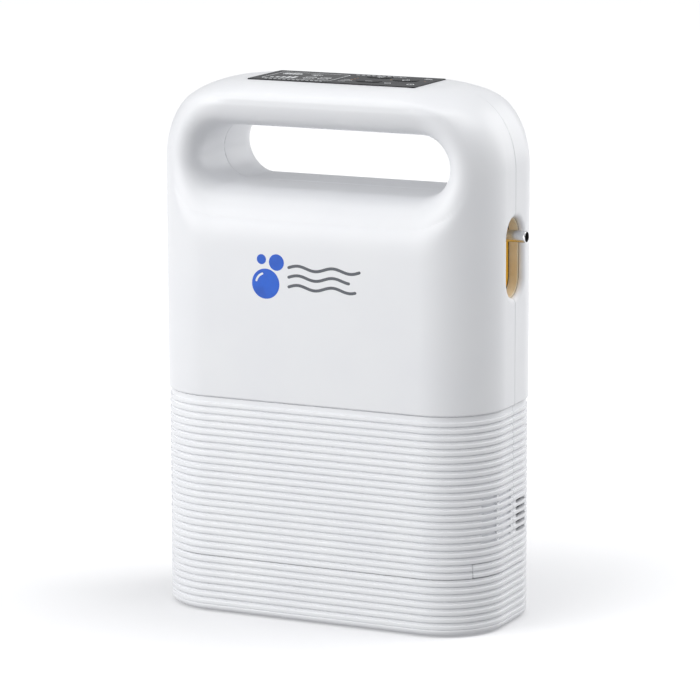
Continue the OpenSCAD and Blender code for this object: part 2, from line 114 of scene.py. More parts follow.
def lightStudio():
    scene.view_settings.view_transform = "Standard"
    world = bpy.data.worlds.new("studio")
    world.use_nodes = True
    background = world.node_tree.nodes["Background"]
    background.inputs["Color"].default_value = hexToLinear(studio["worldColour"])
    background.inputs["Strength"].default_value = studio["world"]
    scene.world = world
    for name, look in studio["boxes"].items():
        softBox(name, look)


def layFloor():
    mesh = bpy.data.meshes.new("floor")
    r = 16
    mesh.from_pydata([(-r, -r, 0), (r, -r, 0), (r, r, 0), (-r, r, 0)], [], [(0, 1, 2, 3)])
    floor = bpy.data.objects.new("floor", mesh)
    scene.collection.objects.link(floor)
    material = bpy.data.materials.new("mattPaperSweep")
    material.use_nodes = True
    tree = material.node_tree
    shader = tree.nodes["Principled BSDF"]
    place = addNode(tree, "ShaderNodeTexCoord")
    away = addNode(tree, "ShaderNodeVectorMath", links={0: place.outputs["Object"]}, operation="LENGTH").outputs["Value"]
    (near, far), (start, end) = studio["floorGlow"], studio["glowReach"]
    glow = addNode(tree, "ShaderNodeMapRange", {"From Min": start, "From Max": end, "To Min": near, "To Max": far}, {"Value": away})
    tree.links.new(glow.outputs["Result"], shader.inputs["Emission Strength"])       # keeps the sweep white to its far edge
    shader.inputs["Base Color"].default_value = hexToLinear(studio["floor"])
    shader.inputs["Roughness"].default_value = 0.9
    shader.inputs["Specular IOR Level"].default_value = 0.1
    shader.inputs["Emission Color"].default_value = hexToLinear(studio["floor"])
    mesh.materials.append(material)
    floor.visible_diffuse = False      # the white sweep doesn't lift the object's shade


placeCamera()
lightStudio()
layFloor()
print("camera, lights and floor ready")


# ---- materials ----
# colour and tint: the two tones that a cloudy noise blends; cloud: size of those clouds in mm;
# grain: spacing of the surface texture in mm; relief: its height in mm; roughness: its range

looks = {
    # moulded ABS from a spark-eroded tool: warm white with a fine even sheen, the grain drawn 0.7 mm wide to show
    "satinAbsWhite": {"colour": "#F1F2F4", "tint": "#EEEFF2", "cloud": 30, "grain": 0.7, "relief": 0.004,
                      "roughness": (0.3, 0.36), "shader": {"IOR": 1.53}},
    # the same ABS in the ribbed skirt, a little colder and more matt
    "ribbedAbsWhite": {"colour": "#F6F7F9", "tint": "#F2F3F6", "cloud": 24, "grain": 0.7, "relief": 0.003,
                       "roughness": (0.34, 0.42), "shader": {"IOR": 1.53}},
    # hard-coated polycarbonate film over a black print: deep gloss with a hint of haze
    "glossPolycarbonateFilm": {"colour": "#17191E", "tint": "#121419", "cloud": 12, "grain": 1.2, "relief": 0.003,
                               "roughness": (0.2, 0.28), "shader": {"Specular IOR Level": 0.12}},
    # embossed film keys: darker print and the same gloss
    "embossedKeyFilm": {"colour": "#15171B", "tint": "#0F1114", "cloud": 6, "grain": 0.9, "relief": 0.003,
                        "roughness": (0.22, 0.32), "shader": {"Specular IOR Level": 0.1}},
    # moulded ABS in golden yellow, semi gloss, at the bottom of the port
    "goldenAbs": {"colour": "#FFC21A", "tint": "#F8B80E", "cloud": 5, "grain": 0.6, "relief": 0.006,
                  "roughness": (0.28, 0.38), "shader": {"IOR": 1.53}},
    # tan of the port walls, silky: painted shade, standing for the golden lining where it lies in shade
    "shadedLiningTan": {"colour": "#EFE6CF", "tint": "#E6DABD", "cloud": 6, "grain": 0.5, "relief": 0.01,
                     "roughness": (0.42, 0.55), "shader": {"IOR": 1.5, "Sheen Weight": 0.15}},
    # polished stainless tube: bright with faint turning lines along it
    "polishedStainless": {"colour": "#D9DADC", "tint": "#CDCED1", "cloud": 4, "grain": 0.5, "relief": 0.002, "pattern": "turned",
                          "roughness": (0.1, 0.2), "shader": {"Metallic": 1.0}},
    # bore of the tube, near black: painted shade inside the bore, dull
    "boreShadeBlack": {"colour": "#101012", "tint": "#08080A", "cloud": 2, "grain": 0.4, "relief": 0.01, "roughness": (0.6, 0.8)},
    # zinc-plated screws: pale grey metal with a cloudy passivation
    "zincPlate": {"colour": "#B9BCC0", "tint": "#A3A7AB", "cloud": 2, "grain": 0.4, "relief": 0.006,
                  "roughness": (0.28, 0.45), "shader": {"Metallic": 1.0}},
    # die-cast aluminium with a sand-like skin
    "castAluminium": {"colour": "#B4B6B9", "tint": "#9EA1A5", "cloud": 9, "grain": 0.9, "relief": 0.05,
                      "roughness": (0.38, 0.55), "shader": {"Metallic": 1.0}},
    # enamelled copper windings: bands one wire wide, 0.6 mm
    "enamelledCopper": {"colour": "#B9683A", "tint": "#8E4722", "cloud": 4, "grain": 0.6, "relief": 0.12, "pattern": "turned",
                        "roughness": (0.25, 0.4), "shader": {"Metallic": 1.0}},
    # gold-plated brass blades with fine rolling lines
    "goldPlatedBrass": {"colour": "#D9B45C", "tint": "#C79E45", "cloud": 3, "grain": 0.3, "relief": 0.004, "pattern": "turned",
                        "across": "Y", "roughness": (0.18, 0.3), "shader": {"Metallic": 1.0}},
    # glass epoxy board under solder mask: woven glass cloth 0.8 mm shows as faint cells
    "solderMaskedBoard": {"colour": "#1E6B3C", "tint": "#175730", "cloud": 8, "grain": 0.8, "relief": 0.02, "pattern": "cells",
                          "fleck": "#2C8450", "roughness": (0.22, 0.34), "shader": {"IOR": 1.55}},
    # glass-filled nylon, black: matt with pale fibre flecks 0.5 mm long
    "glassFilledNylon": {"colour": "#26272A", "tint": "#1B1C1F", "cloud": 10, "grain": 0.5, "relief": 0.02,
                         "fleck": "#3C3E42", "fleckFrom": 0.6, "fleckTo": 0.75, "roughness": (0.45, 0.6)},
    # moulded polypropylene, grey, waxy
    "greyPolypropylene": {"colour": "#A9ABAF", "tint": "#9C9FA3", "cloud": 12, "grain": 0.8, "relief": 0.012,
                          "roughness": (0.35, 0.48), "shader": {"IOR": 1.49}},
    # natural polypropylene: milky white, a little translucent under the skin
    "naturalPolypropylene": {"colour": "#E8E9EA", "tint": "#DCDEE0", "cloud": 12, "grain": 0.8, "relief": 0.012,
                             "roughness": (0.32, 0.44), "shader": {"IOR": 1.49, "Subsurface Weight": 0.1, "Subsurface Scale": 0.002}},
    # filled PTFE of the piston cup: bronze specks 0.3 mm in a waxy base
    "filledPtfe": {"colour": "#DCC78F", "tint": "#CDB67B", "cloud": 4, "grain": 0.3, "relief": 0.006,
                   "fleck": "#A9833C", "fleckFrom": 0.58, "fleckTo": 0.7, "roughness": (0.3, 0.4)},
    # heat-shrink sleeve of the cells: glossy PVC with faint puckers 1.5 mm apart
    "heatShrinkSleeve": {"colour": "#2F8F78", "tint": "#267862", "cloud": 9, "grain": 1.5, "relief": 0.03,
                         "roughness": (0.16, 0.26), "shader": {"IOR": 1.54}},
    # moulded rubber: charcoal, dusty bloom, 0.4 mm tooth; in the port it is also painted shade at the bottom of the gap
    # round the floor plate
    "rubberAndGapShade": {"colour": "#2E2F31", "tint": "#232426", "cloud": 6, "grain": 0.4, "relief": 0.02,
                      "roughness": (0.62, 0.8), "shader": {"IOR": 1.5}},
    # open-cell foam: 1.2 mm pores
    "openCellFoam": {"colour": "#3A3D41", "tint": "#2C2E31", "cloud": 7, "grain": 1.2, "relief": 0.5, "pattern": "cells",
                     "fleck": "#55595F", "roughness": (0.8, 0.95)},
    # foam of the slot screen, made near black to paint the shade inside the slots, 0.8 mm pores
    "shadeBlackSlotFoam": {"colour": "#141517", "tint": "#0D0E10", "cloud": 7, "grain": 0.8, "relief": 0.3, "pattern": "cells",
                     "roughness": (0.85, 0.95)},
    # silicone hose: milky, with a soft sheen
    "siliconeHose": {"colour": "#DDE3E8", "tint": "#CFD6DC", "cloud": 8, "grain": 0.7, "relief": 0.008,
                     "roughness": (0.3, 0.42), "shader": {"IOR": 1.43, "Subsurface Weight": 0.2, "Subsurface Scale": 0.002}},
    # dark tinted lens of the display
    "tintedDisplayLens": {"colour": "#14161A", "tint": "#0E1013", "cloud": 10, "grain": 1.0, "relief": 0.002,
                          "roughness": (0.14, 0.2), "shader": {"Specular IOR Level": 0.1}},
    # pad-printed inks, a thin slightly raised film with a soft tooth
    "blueInk": {"colour": "#0F5FD2", "tint": "#0B52BE", "cloud": 6, "grain": 0.5, "relief": 0.004, "roughness": (0.3, 0.4)},
    "greyInk": {"colour": "#5B5F66", "tint": "#52565C", "cloud": 6, "grain": 0.5, "relief": 0.004, "roughness": (0.35, 0.45)},
    "whiteInk": {"colour": "#F4F6F8", "tint": "#E9ECEF", "cloud": 3, "grain": 0.5, "relief": 0.004, "roughness": (0.35, 0.45)},
    "amberLens": {"colour": "#B8772A", "tint": "#A56720", "cloud": 2, "grain": 0.6, "relief": 0.003, "roughness": (0.1, 0.2)},
}

slotLooks = {
    "shell_white": "satinAbsWhite", "skirt_white": "ribbedAbsWhite", "panel_black": "glossPolycarbonateFilm",
    "key_black": "embossedKeyFilm", "liner_gold": "goldenAbs", "steel": "polishedStainless", "zinc": "zincPlate",
    "alloy": "castAluminium", "copper": "enamelledCopper", "contact": "goldPlatedBrass", "board_green": "solderMaskedBoard",
    "black_plastic": "glassFilledNylon", "grey_plastic": "greyPolypropylene", "natural_plastic": "naturalPolypropylene",
    "piston_seal": "filledPtfe", "cell_wrap": "heatShrinkSleeve", "rubber_dark": "rubberAndGapShade", "foam_dark": "openCellFoam",
    "hose_clear": "siliconeHose", "display_dark": "tintedDisplayLens",
}


def makeFinish(name, look):
    material = bpy.data.materials.new(name)
    material.use_nodes = True
    tree = material.node_tree
    tree.nodes.clear()
    place = addNode(tree, "ShaderNodeTexCoord")
    point = addNode(tree, "ShaderNodeMapping", {"Scale": (1000, 1000, 1000)}, {"Vector": place.outputs["Object"]}).outputs[0]
    cloud = addNode(tree, "ShaderNodeTexNoise", {"Scale": 1 / look["cloud"], "Detail": 3.0}, {"Vector": point}).outputs["Fac"]
    blend = addNode(tree, "ShaderNodeMapRange", {"From Min": 0.3, "From Max": 0.7}, {"Value": cloud}).outputs["Result"]
    colour = addNode(tree, "ShaderNodeMix", {6: hexToLinear(look["tint"]), 7: hexToLinear(look["colour"])},
                     {0: blend}, data_type="RGBA").outputs[2]
    scale = 1 / look["grain"]
    if look.get("pattern") == "cells":
        height = addNode(tree, "ShaderNodeTexVoronoi", {"Scale": scale}, {"Vector": point}).outputs["Distance"]
    elif look.get("pattern") == "turned":
        height = addNode(tree, "ShaderNodeTexWave", {"Scale": scale / 2, "Distortion": 0.8, "Detail": 2.0, "Detail Scale": 2.0},
                         {"Vector": point}, bands_direction=look.get("across", "X")).outputs["Fac"]
    else:
        height = addNode(tree, "ShaderNodeTexNoise", {"Scale": scale, "Detail": 4.0, "Roughness": 0.6},
                         {"Vector": point}).outputs["Fac"]
    if "fleck" in look:
        spots = addNode(tree, "ShaderNodeMapRange", {"From Min": look.get("fleckFrom", 0.2), "From Max": look.get("fleckTo", 0.6)},
                        {"Value": height}).outputs["Result"]
        colour = addNode(tree, "ShaderNodeMix", {7: hexToLinear(look["fleck"])}, {0: spots, 6: colour},
                         data_type="RGBA").outputs[2]
    low, high = look["roughness"]
    gloss = addNode(tree, "ShaderNodeMapRange", {"To Min": low, "To Max": high}, {"Value": cloud}).outputs["Result"]
    relief = addNode(tree, "ShaderNodeBump", {"Distance": look["relief"] * mm}, {"Height": height}).outputs["Normal"]
    shader = addNode(tree, "ShaderNodeBsdfPrincipled", look.get("shader"),
                     {"Base Color": colour, "Roughness": gloss, "Normal": relief})
    addNode(tree, "ShaderNodeOutputMaterial", links={"Surface": shader.outputs["BSDF"]})
    return material


finishes = {name: makeFinish(name, look) for name, look in looks.items()}
print("materials ready:", len(finishes))


# ---- mesh helpers ----

def addPiece(name, points, faces, materials, body, replaced=(), faceSlots=None, normals=None, sharp=35):
    mesh = bpy.data.meshes.new(name)
    points = np.asarray(points, float)
    mesh.from_pydata((points * mm).tolist(), [], [list(map(int, f)) for f in faces])
    for material in materials:
        mesh.materials.append(finishes[material])
    if faceSlots is not None:
        mesh.polygons.foreach_set("material_index", np.asarray(faceSlots, np.int32))
    mesh.polygons.foreach_set("use_smooth", np.ones(len(mesh.polygons), bool))
    if normals is None:
        mesh.set_sharp_from_angle(angle=math.radians(sharp))
    else:
        mesh.normals_split_custom_set_from_vertices(normals.tolist())
    piece = bpy.data.objects.new(name, mesh)
    scene.collection.objects.link(piece)
    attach(piece, body)
    if replaced:
        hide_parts(*replaced)
    return piece


def joinParts(parts):
    points, faces = [], []
    for partPoints, partFaces in parts:
        start = sum(len(p) for p in points)
        points.append(np.asarray(partPoints, float))
        faces += [[i + start for i in f] for f in partFaces]
    return np.concatenate(points), faces


def loft(rings, closed=False):
    # skins rings of equal length; the ends are capped unless the last ring joins the first
    count, size = len(rings), len(rings[0])
    faces = []
    for r in range(count if closed else count - 1):
        a, b = r * size, (r + 1) % count * size
        faces += [[a + i, a + (i + 1) % size, b + (i + 1) % size, b + i] for i in range(size)]
    if not closed:
        faces.append(list(range(size))[::-1])
        faces.append([(count - 1) * size + i for i in range(size)])
    return np.concatenate(rings), faces


def roundedOutline(halfA, halfB, radius, steps=10):
    # counterclockwise outline with its outward normals
    points, normals = [], []
    for corner, (sa, sb) in enumerate(((1, 1), (-1, 1), (-1, -1), (1, -1))):
        for i in range(steps + 1):
            turn = math.radians(90 * (corner + i / steps))
            n = (math.cos(turn), math.sin(turn))
            points.append((sa * (halfA - radius) + radius * n[0], sb * (halfB - radius) + radius * n[1]))
            normals.append(n)
    keep = [i for i in range(len(points)) if math.dist(points[i], points[i - 1]) > 1e-6]
    return np.array(points)[keep], np.array(normals)[keep]


def circleOutline(radius, count=48):
    turn = np.linspace(0, 2 * math.pi, count, endpoint=False)
    normals = np.stack([np.cos(turn), np.sin(turn)], 1)
    return normals * radius, normals


def spread(outline, inset, level, place):
    # one ring: the outline drawn in by inset at a level, put in space by place(a, b, level)
    points, normals = outline
    a, b = (points - normals * inset).T
    return np.stack(np.broadcast_arrays(*place(a, b, np.full(len(a), float(level)))), 1)


def plate(loops, low, high, chamfer=0.0):
    # flat plate with holes: loops[0] is the outside, counterclockwise; the rest are holes, clockwise
    levels = [(low, 0.0), (high - chamfer, 0.0), (high, chamfer)] if chamfer else [(low, 0.0), (high, 0.0)]
    rings = []
    for level, inset in levels:
        ring = []
        for loop in loops:
            loop = np.asarray(loop, float)
            along = np.roll(loop, -1, 0) - np.roll(loop, 1, 0)
            along /= np.linalg.norm(along, axis=1)[:, None]
            ring.append(np.column_stack([loop - np.stack([along[:, 1], -along[:, 0]], 1) * inset, np.full(len(loop), level)]))
        rings.append(ring)
    size = sum(len(loop) for loop in loops)
    faces = []
    for r in range(len(levels) - 1):
        start = r * size
        for loop in loops:
            n = len(loop)
            faces += [[start + i, start + (i + 1) % n, start + size + (i + 1) % n, start + size + i] for i in range(n)]
            start += n
    flat = np.concatenate([np.asarray(loop, float) for loop in loops])
    for tri in tessellate_polygon([[Vector((*p, 0)) for p in loop] for loop in loops]):
        a, b, c = flat[list(tri)]
        area = (b[0] - a[0]) * (c[1] - a[1]) - (c[0] - a[0]) * (b[1] - a[1])
        if abs(area) < 1e-9:
            continue
        tri = list(tri) if area > 0 else list(tri)[::-1]
        faces.append([i + (len(levels) - 1) * size for i in tri])
        faces.append(tri[::-1])
    return np.concatenate([np.concatenate(ring) for ring in rings]), faces


# ---- smooth upper body, from a distance-like field ----

body = {"width": 160, "depth": 76.8, "top": 234.7, "bottom": 97.1, "corner": 28.7, "shoulder": (35.3, 36.9, 2.24), "topEdge": (21.1, 9.7, 2.0),
        "wall": 2.4, "lip": 1.0, "seam": 0.03, "seamRound": 0.35}
gap = {"halfLength": 46.6, "height": 202.2, "radius": 13.2, "flareFrom": 20, "bell": 20, "rim": 9}
port = {"halfWidth": 8.6, "halfStraight": 8.75, "height": 161.65, "rim": 2.8}
jack = {"y": 8, "z": 128, "radius": 5.65}
screws = {"upper": [(52, 101.6), (60, 179.2)], "lower": [(45, 46.5), (45, 90)], "hole": 3.05}
keys = {"power_key": (27, 3), "flow_up_key": (12, 9), "flow_down_key": (13.5, -6)}


def smoothMax(a, b, k):
    return np.maximum(a, b) + k / 4 * (np.maximum(k - np.abs(a - b), 0) / k) ** 2


def drawIn(z, s, edge):
    # how far a rounded upper edge (run, rise and power of its curve) has drawn in at a height, and how steeply
    run, rise, power = edge[0] - s, edge[1] - s, edge[2]
    t = (z - body["top"] + s) / rise + 1
    held = np.clip(t, 0, 0.998)                               # beyond this the curve goes on as a straight slope
    left = 1 - held ** power
    steep = run / rise * left ** (1 / power - 1) * held ** (power - 1)
    return run * (1 - left ** (1 / power)) + steep * rise * np.maximum(t - held, 0), steep


def bodyField(x, y, z, s):
    top = body["top"] - s
    inX, steepX = drawIn(z, s, body["shoulder"])
    inY, steepY = drawIn(z, s, body["topEdge"])
    halfX = body["width"] / 2 - s - inX
    halfY = body["depth"] / 2 - s - inY
    radius = -smoothMax(-(body["corner"] - s), -0.95 * halfY, 3.0)
    qx = np.abs(x) - halfX + radius
    qy = np.abs(y) - halfY + radius
    reach = np.hypot(np.maximum(qx, 0), np.maximum(qy, 0))
    plan = reach + np.minimum(np.maximum(qx, qy), 0) - radius
    safe = np.maximum(reach, 1e-9)
    toX = np.where(reach > 0, np.maximum(qx, 0) / safe, qx > qy)
    toY = np.where(reach > 0, np.maximum(qy, 0) / safe, qx <= qy)
    return np.maximum(plan / np.sqrt(1 + (toX * steepX + toY * steepY) ** 2), z - top)


def gapField(x, y, z, grow):
    q = np.hypot(np.maximum(np.abs(x) - gap["halfLength"], 0), z - gap["height"]) - gap["radius"] - grow
    bell = gap["bell"] - grow
    deep = np.abs(y) - gap["flareFrom"]
    flare = bell - np.hypot(np.minimum(q - bell, 0), np.maximum(deep, 0)) + 0.6 * np.maximum(q + grow - 12.2, 0)
    return np.where(deep > 0, flare, q)


def shellField(side):
    def field(x, y, z):
        skin = smoothMax(bodyField(x, y, z, 0), -gapField(x, y, z, 0), gap["rim"])
        slot = np.hypot(y, np.maximum(np.abs(z - port["height"]) - port["halfStraight"], 0)) - port["halfWidth"]
        skin = smoothMax(skin, -np.maximum(slot, 60 - x), port["rim"])
        hole = np.hypot(y - jack["y"], z - jack["z"]) - jack["radius"]
        skin = smoothMax(skin, -np.maximum(hole, 60 + x), 0.8)
        if side > 0:
            for sx, sz in screws["upper"]:
                hole = np.hypot(np.abs(x) - sx, z - sz) - screws["hole"]
                skin = smoothMax(skin, -np.maximum(hole, 20 - y), 0.7)
        skin = smoothMax(skin, body["bottom"] - z, body["lip"])
        for kx, ky in keys.values():
            skin = np.maximum(skin, -np.maximum(np.hypot(np.maximum(np.abs(x - kx) - 2.6, 0), y - ky) - 3.5, 225 - z))
        skin = np.maximum(skin, -np.maximum(np.maximum(np.abs(x + 18.5) - 17.5, np.abs(y) - 13), 225 - z))
        tight = ((np.abs(x) < 62) & (np.abs(z - gap["height"]) < 14)) | (z > 226)      # the seam closes up in the gap and on top
        skin = smoothMax(skin, body["seam"] - side * y, np.where(tight, 0.08, body["seamRound"]))
        wall = body["wall"]
        hollow = smoothMax(bodyField(x, y, z, wall), -gapField(x, y, z, wall), gap["rim"] - 2)
        return np.maximum(skin, -hollow)
    return field


def gridLines(start, *spans):
    values = [start]
    for end, step in spans:
        count = max(1, round((end - start) / step))
        values += [start + (end - start) * (i + 1) / count for i in range(count)]
        start = end
    return np.array(values)


def netOver(field, grid):
    # one vertex in each grid cell that the surface crosses, one face on each crossed edge
    value = field(*np.meshgrid(*grid, indexing="ij"))
    inside = value < 0
    nx, ny, nz = value.shape
    held = sum(inside[i:nx - 1 + i, j:ny - 1 + j, k:nz - 1 + k].astype(np.int8) for i, j, k in product((0, 1), repeat=3))
    cells = np.argwhere((held > 0) & (held < 8))
    number = np.full(held.shape, -1)
    number[tuple(cells.T)] = np.arange(len(cells))
    total, hits = np.zeros((len(cells), 3)), np.zeros(len(cells))
    faces = []
    for axis in range(3):
        a, b = (axis + 1) % 3, (axis + 2) % 3
        for u, v in product((0, 1), repeat=2):
            low = cells.copy()
            low[:, a] += u
            low[:, b] += v
            high = low.copy()
            high[:, axis] += 1
            f0, f1 = value[tuple(low.T)], value[tuple(high.T)]
            crossed = (f0 < 0) != (f1 < 0)
            part = np.where(crossed, f0 / np.where(crossed, f0 - f1, 1), 0)
            point = np.stack([grid[d][low[:, d]] for d in range(3)], 1)
            point[:, axis] += part * (grid[axis][high[:, axis]] - grid[axis][low[:, axis]])
            total += point * crossed[:, None]
            hits += crossed
        lowEnd = inside[tuple(slice(0, -1) if d == axis else slice(1, -1) for d in range(3))]
        highEnd = inside[tuple(slice(1, None) if d == axis else slice(1, -1) for d in range(3))]
        edges = np.argwhere(lowEnd != highEnd)
        outward = lowEnd[tuple(edges.T)]
        base = edges + np.array([d != axis for d in range(3)])
        ring = []
        for u, v in ((-1, -1), (0, -1), (0, 0), (-1, 0)):
            cell = base.copy()
            cell[:, a] += u
            cell[:, b] += v
            ring.append(number[tuple(cell.T)])
        ring = np.stack(ring, 1)
        ring[~outward] = ring[~outward][:, ::-1]
        faces.append(ring)
    return total / hits[:, None], np.concatenate(faces)


def slopeOf(field, points, step=0.02):
    slope = np.empty_like(points)
    for d in range(3):
        shift = np.eye(3)[d] * step
        slope[:, d] = (field(*(points + shift).T) - field(*(points - shift).T)) / (2 * step)
    return slope


def settleOn(field, points):
    for _ in range(7):
        slope = slopeOf(field, points)
        move = field(*points.T) / np.maximum((slope ** 2).sum(1), 0.05)
        points = points - np.clip(move[:, None] * slope, -0.4, 0.4)
    points[:, 2] = np.minimum(points[:, 2], body["top"])
    slope = slopeOf(field, points)
    return points, slope / np.maximum(np.linalg.norm(slope, axis=1), 1e-9)[:, None]


def buildUpperShell(name, node, side):
    field = shellField(side)
    xs = gridLines(-81.3, (70.5, 1.25), (81.5, 0.6))
    ys = gridLines(-0.7, (0.8, 0.15), (12, 0.6), (39.6, 1.2)) * side
    zs = gridLines(96.2, (99.2, 0.35), (142, 1.3), (182, 0.65), (236, 1.3))
    points, faces = netOver(field, (xs, np.sort(ys), zs))
    points, normals = settleOn(field, points)
    normals[points[:, 2] > body["top"] - 0.03] = (0, 0, 1)
    addPiece(name, points, faces, ["satinAbsWhite"], "housing", (node,), normals=normals)
    print(name, "faces:", len(faces))


buildUpperShell("front_body", "upper_front_shell", -1)
buildUpperShell("rear_body", "upper_rear_shell", 1)


# ---- ribbed skirt: lower shells, battery case and latch tabs ----

skirt = {"halfWidth": 79.6, "halfDepth": 38.0, "corner": 28.3, "top": 97.0, "pitch": 3.191, "lowest": 3.4, "count": 28,
         "land": 1.34, "depth": 0.6, "undercut": 0.45, "bead": 4.2, "wall": 2.4, "base": 0.9, "foot": 2.0}
latch = {"halfLength": 27.7, "room": 0.7, "bottom": 26.05, "top": 31.72, "openTop": 32.1}
caseTop, bayBottom = 25.4, 25.8
vents = {"slotRows": range(12, 17), "slotFrom": 4.2, "slotTo": 15.5, "slotHeight": 1.55, "slotAbove": 0.25, "blindRows": range(10, 17), "blindDepth": 1.0,
         "blindSpans": ((-13.6, -1.3), (-24.3, -15.53))}


def grooveHeight(k):
    return skirt["lowest"] + (skirt["count"] - k) * skirt["pitch"]


def skirtRows():
    # height and depth pairs from the top down: a recessed land, then a rounded bead
    def bead(high, low):
        rows = []
        for i in range(11):
            t = 0.5 - 0.5 * math.cos(math.pi * i / 10)
            n = skirt["bead"]
            rows.append((high - (high - low) * t, skirt["depth"] * (1 - (1 - abs(2 * t - 1) ** n) ** (1 / n))))
        return rows
    deep = skirt["depth"]
    rows = [(skirt["top"], 1.3), (skirt["top"] - 0.1, 0.95), (skirt["top"] - 0.25, 0.7)] + bead(94.55, grooveHeight(0))
    for k in range(skirt["count"]):
        z = grooveHeight(k)
        cut = deep + skirt["undercut"]                                # a thin sharper groove under each bead
        rows += [(z - 0.03, deep), (z - 0.07, cut), (z - 0.32, cut), (z - 0.4, deep), (z - 1.2, deep)]
        rows += bead(z - skirt["land"], z - skirt["pitch"])
    rows += [(3.34, 0.3), (3.22, 0.1), (3.05, 0.0)]
    for i in range(9):
        turn = math.radians(11.25 * i)
        rows.append((skirt["base"] + skirt["foot"] * (1 - math.sin(turn)), skirt["foot"] * (1 - math.cos(turn))))
    known = np.array(rows)[::-1]
    extra = [caseTop, bayBottom, latch["bottom"], latch["top"], latch["openTop"]]
    extra += [z + s for _, z in screws["lower"] for s in (-4.2, 4.2)]
    extra += [grooveHeight(k) + s for k in vents["slotRows"] for s in (vents["slotAbove"], -vents["slotHeight"])]
    for z in extra:
        rows.append((z, float(np.interp(z, known[:, 0], known[:, 1]))))
    rows = sorted(set(rows), reverse=True)
    return np.array([row for i, row in enumerate(rows) if i == 0 or rows[i - 1][0] - row[0] > 1e-4])


def skirtColumns():
    # outline points and outward normals, counterclockwise from the right side
    cx, cy = skirt["halfWidth"] - skirt["corner"], skirt["halfDepth"] - skirt["corner"]
    r = skirt["corner"]
    steps = [0, 1.6, 3.2, 5.5, 7.8, 8.0, 9.8, 11.7, 11.83, 11.95, 14.5, 18, 22.5, 27, 30.95, 31.17, 35]
    edge = math.degrees(math.asin((latch["halfLength"] - cy) / r))
    room = math.degrees(latch["room"] / r)
    steps += [edge, edge + room] + list(np.linspace(edge + room, 90, 12))[1:]
    side = [-7, -4.2, -1.4, -1.2, -0.6, -0.25, -0.06, 0.06, 0.25, 0.6, 1.3, 4.2, 7]
    flat = [51.0, 49.2, 45, 40.8, 30, 15]
    across = flat + [0] + [-x for x in flat[::-1]]
    points, normals = [], []

    def arc(centreX, centreY, turns):
        for turn in turns:
            n = (math.cos(math.radians(turn)), math.sin(math.radians(turn)))
            points.append((centreX + r * n[0], centreY + r * n[1]))
            normals.append(n)

    for y in side:
        points.append((skirt["halfWidth"], y))
        normals.append((1, 0))
    arc(cx, cy, steps)
    for x in across:
        points.append((x, skirt["halfDepth"]))
        normals.append((0, 1))
    arc(-cx, cy, [180 - s for s in steps[::-1]])
    for y in side[::-1]:
        points.append((-skirt["halfWidth"], y))
        normals.append((-1, 0))
    arc(-cx, -cy, [180 + s for s in steps])
    for x in across[::-1]:
        points.append((x, -skirt["halfDepth"]))
        normals.append((0, -1))
    arc(cx, -cy, [360 - s for s in steps[::-1]])
    return np.array(points), np.array(normals)


rows = skirtRows()
outline, outlineNormals = skirtColumns()
middle = (outline + np.roll(outline, -1, 0)) / 2              # middle of each cell, in plan
cellX, cellY = middle.T
cellZ = ((rows[1:, 0] + rows[:-1, 0]) / 2)[:, None]
onSide = np.abs(cellX) > 55
# the wall runs straight inwards beside a latch tab, so that the tab slides in freely
besideTab = (np.abs(np.abs(outline[:, 1]) - latch["halfLength"]) < 1.0) & (np.abs(outline[:, 0]) > 55)
straightIn = np.stack([1 / np.where(besideTab, outlineNormals[:, 0], 1), np.zeros(len(outline))], 1)
inward = np.where(besideTab[:, None], straightIn, outlineNormals)


def skirtWall(inset, rowCount, seam):
    # grid of points at each row's depth plus what the vents and the seam take away
    z, depth = rows[:rowCount, 0], rows[:rowCount, 1]
    deep = np.broadcast_to(depth[:, None], (rowCount, len(outline))).copy()
    if seam:
        y = np.abs(outline[:, 1])
        deep += np.where(np.abs(outline[:, 0]) > 70, np.interp(y, [0.06, 0.25, 0.6], [0.16, 0.04, 0.0]), 0)[None]
        for k in vents["blindRows"]:
            inLand = (z < grooveHeight(k) - 0.1) & (z > grooveHeight(k) - skirt["land"] + 0.05)
            for low, high in vents["blindSpans"]:
                inSpan = (outline[:, 1] > low) & (outline[:, 1] < high) & (np.abs(outline[:, 0]) > 55)
                deep += vents["blindDepth"] * inLand[:, None] * inSpan[None]
    plan = outline[None] - outlineNormals[None] * deep[:, :, None]
    outer = np.dstack([plan, np.broadcast_to(z[:, None], deep.shape)])
    plan = np.broadcast_to(outline - inward * inset, plan.shape)
    inner = np.dstack([plan, np.broadcast_to(z[:, None], deep.shape)])
    return outer, inner


def wallFromCells(outer, inner, mask, cap=False):
    # closes the cells chosen by mask into one wall with its edges
    count, size = outer.shape[:2]
    shift = count * size
    o = np.arange(shift).reshape(count, size)
    right = np.roll(o, -1, 1)
    a, b, c, d = o[:-1], o[1:], right[1:], right[:-1]
    faces = [np.stack([a, b, c, d], -1)[mask], np.stack([d, c, b, a], -1)[mask] + shift]
    above = mask & ~np.vstack([np.zeros((1, size), bool), mask[:-1]])
    below = mask & ~np.vstack([mask[1:], np.full((1, size), cap)])
    left = mask & ~np.roll(mask, 1, 1)
    after = mask & ~np.roll(mask, -1, 1)
    faces.append(np.stack([a, d, d + shift, a + shift], -1)[above])
    faces.append(np.stack([c, b, b + shift, c + shift], -1)[below])
    faces.append(np.stack([a, a + shift, b + shift, b], -1)[left])
    faces.append(np.stack([c, c + shift, d + shift, d], -1)[after])
    faces = np.concatenate(faces)
    points = np.concatenate([outer.reshape(-1, 3), inner.reshape(-1, 3)])
    used, compact = np.unique(faces, return_inverse=True)
    faces = compact.reshape(faces.shape).tolist()
    if cap:
        place = {old: new for new, old in enumerate(used)}
        faces.append([place[i] for i in o[-1][::-1]])
        faces.append([place[i + shift] for i in o[-1]])
    return points[used], faces


